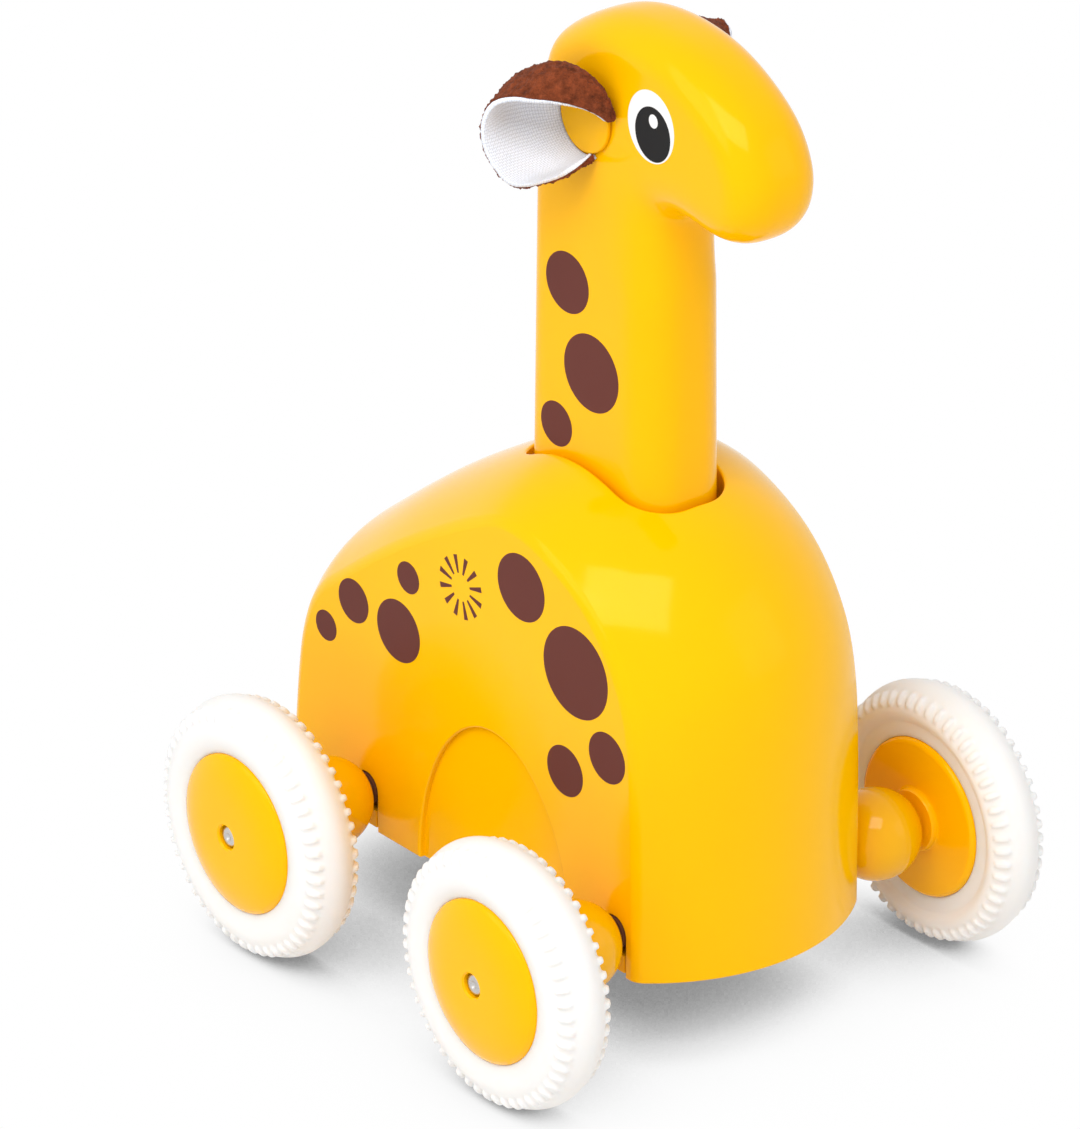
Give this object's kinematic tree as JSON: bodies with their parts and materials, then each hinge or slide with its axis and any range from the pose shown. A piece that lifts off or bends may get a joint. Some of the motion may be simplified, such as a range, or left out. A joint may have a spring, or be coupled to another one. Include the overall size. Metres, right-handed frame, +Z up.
{
  "type": "giraffe press-and-go toy",
  "caption": "Giraffe push toy on wheels: pressing the spring-raised neck and head drives a rack and gears that turn the rear axle.",
  "frame": {"origin": "on the ground under the middle of the toy, halfway along its length and width", "axes": "+Z up, the giraffe faces -Y, its left side is +X"},
  "size_m": [0.112, 0.1254, 0.1799],
  "materials": {
    "casing": "smooth moulded, glossy yellow, printed brown spots",
    "neck_lacquer": "glossy yellow lacquer, printed brown spots and eyes",
    "ear_peg": "glossy yellow lacquer",
    "ear_cloth": "brown felt outside, white woven lining inside",
    "hub": "smooth moulded, glossy yellow",
    "tyre": "matte warm white with two rows of small teeth",
    "bead": "turned, glossy amber-yellow lacquer",
    "axle_steel": "plain drawn rod with riveted ends",
    "screw_steel": "zinc plated",
    "shaft_steel": "ground rod",
    "spring_steel": "bright spring wire",
    "bush": "dark brown acetal",
    "gear": "natural acetal",
    "rack": "natural acetal",
    "base": "lightly textured yellow",
    "gear_plate": "lightly textured grey"
  },
  "bodies": {
    "chassis": {"body_shell": "casing", "base_plate": "base", "drive_shaft": "shaft_steel", "idler_shaft": "shaft_steel", "return_spring": "spring_steel", "axle_bush_front_left": "bush", "axle_bush_front_right": "bush", "axle_bush_rear_left": "bush", "axle_bush_rear_right": "bush", "base_screw_front_left": "screw_steel", "base_screw_front_right": "screw_steel", "base_screw_rear_left": "screw_steel", "base_screw_rear_right": "screw_steel", "gear_plate_left": "gear_plate", "gear_plate_right": "gear_plate", "gear_plate_screw_left_front": "screw_steel", "gear_plate_screw_left_rear": "screw_steel", "gear_plate_screw_right_front": "screw_steel", "gear_plate_screw_right_rear": "screw_steel"},
    "neck": {"neck_head": "neck_lacquer", "press_rack": "rack", "ear_left": "ear_cloth", "ear_peg_left": "ear_peg", "ear_peg_right": "ear_peg", "ear_right": "ear_cloth", "rack_screw_front": "screw_steel", "rack_screw_rear": "screw_steel"},
    "drive_gear": {"drive_gear": "gear"},
    "idler_gear": {"idler_gear": "gear"},
    "axle_gear": {"axle_gear": "gear"},
    "rear_axle": {"rear_axle": "axle_steel", "clutch_hub": "gear", "bead_rear_left": "bead", "bead_rear_right": "bead", "hub_rear_left": "hub", "hub_rear_right": "hub", "tyre_rear_left": "tyre", "tyre_rear_right": "tyre"},
    "front_axle": {"front_axle": "axle_steel", "bead_front_left": "bead", "bead_front_right": "bead", "hub_front_left": "hub", "hub_front_right": "hub", "tyre_front_left": "tyre", "tyre_front_right": "tyre"}
  },
  "joints": [
    {"name": "neck_press", "type": "slide", "parent": "chassis", "child": "neck", "axis": [0, 0, -1], "range_m": [0, 0.02], "stiffness_N_per_m": 150, "springref_m": -0.015, "deforming": ["return_spring"]},
    {"name": "drive_gear_spin", "type": "hinge", "parent": "chassis", "child": "drive_gear", "pos_m": [0, 0.00885, 0.04183], "axis": [1, 0, 0], "range_deg": [0, 239]},
    {"name": "idler_gear_spin", "type": "hinge", "parent": "chassis", "child": "idler_gear", "pos_m": [0, 0.02787, 0.03564], "axis": [1, 0, 0], "range_deg": [-359, 0]},
    {"name": "axle_gear_spin", "type": "hinge", "parent": "chassis", "child": "axle_gear", "pos_m": [0, 0.0308, 0.024], "axis": [1, 0, 0], "range_deg": [0, 717]},
    {"name": "rear_axle_spin", "type": "hinge", "parent": "chassis", "child": "rear_axle", "pos_m": [0, 0.0308, 0.024], "axis": [1, 0, 0], "continuous": true},
    {"name": "front_axle_spin", "type": "hinge", "parent": "chassis", "child": "front_axle", "pos_m": [0, -0.0387, 0.024], "axis": [1, 0, 0], "continuous": true}
  ],
  "couplings": [
    {"joint": "drive_gear_spin", "follows": "neck_press", "rad_per_m": 208.33},
    {"joint": "idler_gear_spin", "follows": "neck_press", "rad_per_m": -312.5},
    {"joint": "axle_gear_spin", "follows": "neck_press", "rad_per_m": 625}
  ]
}
